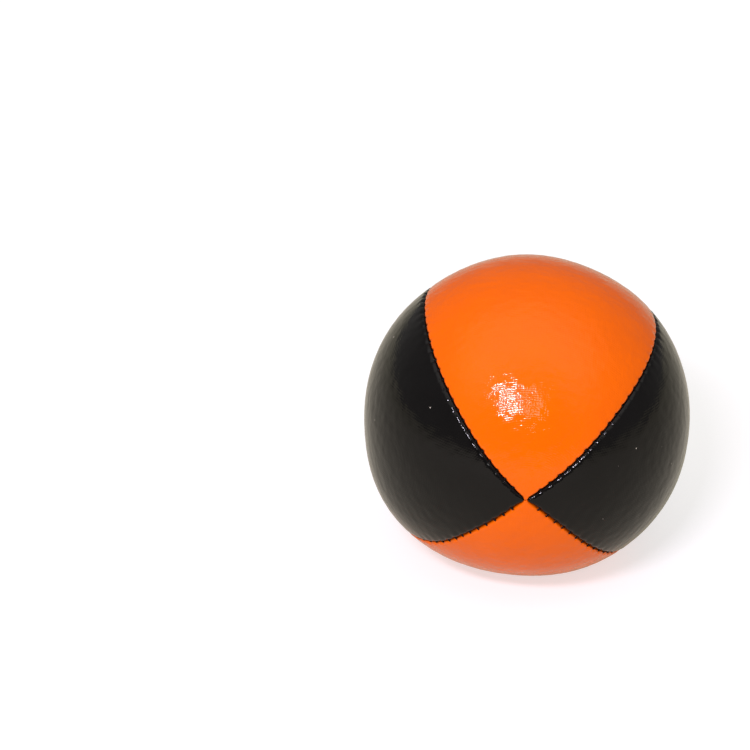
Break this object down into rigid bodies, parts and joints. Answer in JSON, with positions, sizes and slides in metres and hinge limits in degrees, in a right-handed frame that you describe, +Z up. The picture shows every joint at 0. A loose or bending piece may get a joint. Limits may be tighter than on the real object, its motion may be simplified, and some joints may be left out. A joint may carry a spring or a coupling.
{
  "type": "juggling ball",
  "caption": "Soft seed-filled ball for juggling, with a sewn cover of orange and black gore panels that meet at crossed seams.",
  "frame": {"origin": "middle of the flat patch that the ball rests on, straight below the middle of the ball", "axes": "+Z up; Y along the seam axis, on which the tips of the panels meet, with the front crossing of the seams at -Y; +X to the right of it"},
  "size_m": [0.064, 0.064, 0.0628],
  "materials": {
    "orange_coated_fabric": "gloss",
    "black_coated_fabric": "gloss",
    "sewing_thread": "satin",
    "millet": "satin"
  },
  "bodies": {
    "root": {"orange_panel_top": "orange_coated_fabric", "orange_panel_bottom": "orange_coated_fabric", "black_panel_left": "black_coated_fabric", "black_panel_right": "black_coated_fabric", "needle_thread_upper_left": "sewing_thread", "needle_thread_upper_right": "sewing_thread", "needle_thread_lower_left": "sewing_thread", "needle_thread_lower_right": "sewing_thread", "bobbin_thread_upper_left": "sewing_thread", "bobbin_thread_upper_right": "sewing_thread", "bobbin_thread_lower_left": "sewing_thread", "bobbin_thread_lower_right": "sewing_thread", "closing_thread": "sewing_thread", "millet_fill": "millet"}
  },
  "joints": []
}
